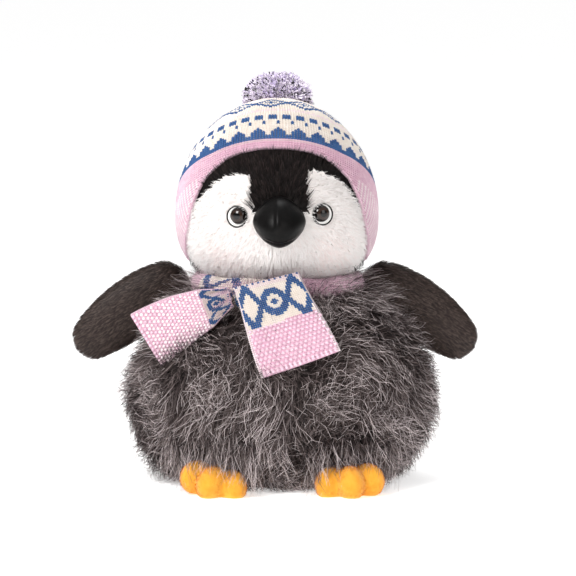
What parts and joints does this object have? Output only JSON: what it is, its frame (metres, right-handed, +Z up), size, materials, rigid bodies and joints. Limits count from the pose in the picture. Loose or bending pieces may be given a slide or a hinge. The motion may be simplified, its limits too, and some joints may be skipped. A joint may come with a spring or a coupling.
{
  "type": "plush penguin",
  "caption": "Plush penguin chick with a flat weighted base, movable wings, lift-off knitted hat with earflaps and pompom, and a knotted scarf.",
  "frame": {"origin": "centre of the flat base panel, on the surface the toy sits on", "axes": "+Z up, -Y out of the face, +X to the toy's own left"},
  "size_m": [0.2898, 0.2057, 0.2904],
  "materials": {
    "long_pile_grey": "long frosted pile",
    "short_pile_brown": "short pile",
    "black_plush": "short pile",
    "white_plush": "short pile",
    "black_felt": "felt",
    "orange_felt": "felt",
    "gloss_black": "gloss",
    "white_felt": "felt",
    "knit_cream": "fine knit",
    "knit_pink": "fine knit",
    "lilac_yarn": "cut yarn",
    "polyester_fill": "loose filling",
    "cotton_bag": "woven",
    "nylon_washer": "moulded"
  },
  "bodies": {
    "body": {"body_front": "long_pile_grey", "body_back": "long_pile_grey", "base_panel": "short_pile_brown", "body_stuffing": "polyester_fill", "pellet_bag": "cotton_bag", "scarf_wrap": "knit_pink", "scarf_knot": "knit_pink"},
    "head": {"face_left": "white_plush", "face_right": "white_plush", "head_crown": "black_plush", "head_back": "black_plush", "head_stuffing": "polyester_fill", "beak_upper": "black_felt", "beak_lower": "black_felt", "beak_stuffing": "polyester_fill", "eye_left": "gloss_black", "eye_right": "gloss_black", "eye_white_left": "white_felt", "eye_white_right": "white_felt", "eye_washer_left": "nylon_washer", "eye_washer_right": "nylon_washer"},
    "hat": {"hat_crown": "knit_cream", "hat_band": "knit_pink", "hat_earflap_left": "knit_pink", "hat_earflap_right": "knit_pink", "pompom_knot": "lilac_yarn"},
    "pompom": {"pompom": "lilac_yarn"},
    "scarf_front": {"scarf_tail_front": "knit_cream"},
    "scarf_side": {"scarf_tail_side": "knit_pink"},
    "wing_left": {"wing_left_front": "short_pile_brown", "wing_left_back": "short_pile_brown", "wing_left_stuffing": "polyester_fill"},
    "foot_left": {"foot_left_upper": "orange_felt", "foot_left_sole": "orange_felt", "foot_left_stuffing": "polyester_fill"},
    "wing_right": {"wing_right_front": "short_pile_brown", "wing_right_back": "short_pile_brown", "wing_right_stuffing": "polyester_fill"},
    "foot_right": {"foot_right_upper": "orange_felt", "foot_right_sole": "orange_felt", "foot_right_stuffing": "polyester_fill"}
  },
  "joints": [
    {"name": "head_turn", "type": "hinge", "parent": "body", "child": "head", "pos_m": [-0.003, 0, 0.145], "axis": [0, 0, 1], "range_deg": [-12, 12], "stiffness_Nm_per_rad": 0.1},
    {"name": "hat_lift_off", "type": "slide", "parent": "head", "child": "hat", "axis": [0, 0, 1], "range_m": [0, 0.15]},
    {"name": "pompom_tilt", "type": "hinge", "parent": "hat", "child": "pompom", "pos_m": [-0.003, 0.0454, 0.2574], "axis": [1, 0, 0], "range_deg": [-12, 12]},
    {"name": "scarf_front_lift", "type": "hinge", "parent": "body", "child": "scarf_front", "pos_m": [-0.0105, -0.067, 0.151], "axis": [-0.9455, 0, -0.3256], "range_deg": [0, 60]},
    {"name": "scarf_side_lift", "type": "hinge", "parent": "body", "child": "scarf_side", "pos_m": [-0.038, -0.071, 0.137], "axis": [0, 1, 0], "range_deg": [0, 35]},
    {"name": "wing_left_raise", "type": "hinge", "parent": "body", "child": "wing_left", "pos_m": [0.0795, 0.018, 0.131], "axis": [0, -1, 0], "range_deg": [-8, 22]},
    {"name": "wing_right_raise", "type": "hinge", "parent": "body", "child": "wing_right", "pos_m": [-0.0885, 0.018, 0.131], "axis": [0, 1, 0], "range_deg": [-8, 22]},
    {"name": "foot_left_tip", "type": "hinge", "parent": "body", "child": "foot_left", "pos_m": [0.047, -0.066, 0.003], "axis": [-1, 0, 0], "range_deg": [0, 8]},
    {"name": "foot_right_tip", "type": "hinge", "parent": "body", "child": "foot_right", "pos_m": [-0.044, -0.066, 0.003], "axis": [-1, 0, 0], "range_deg": [0, 8]}
  ]
}
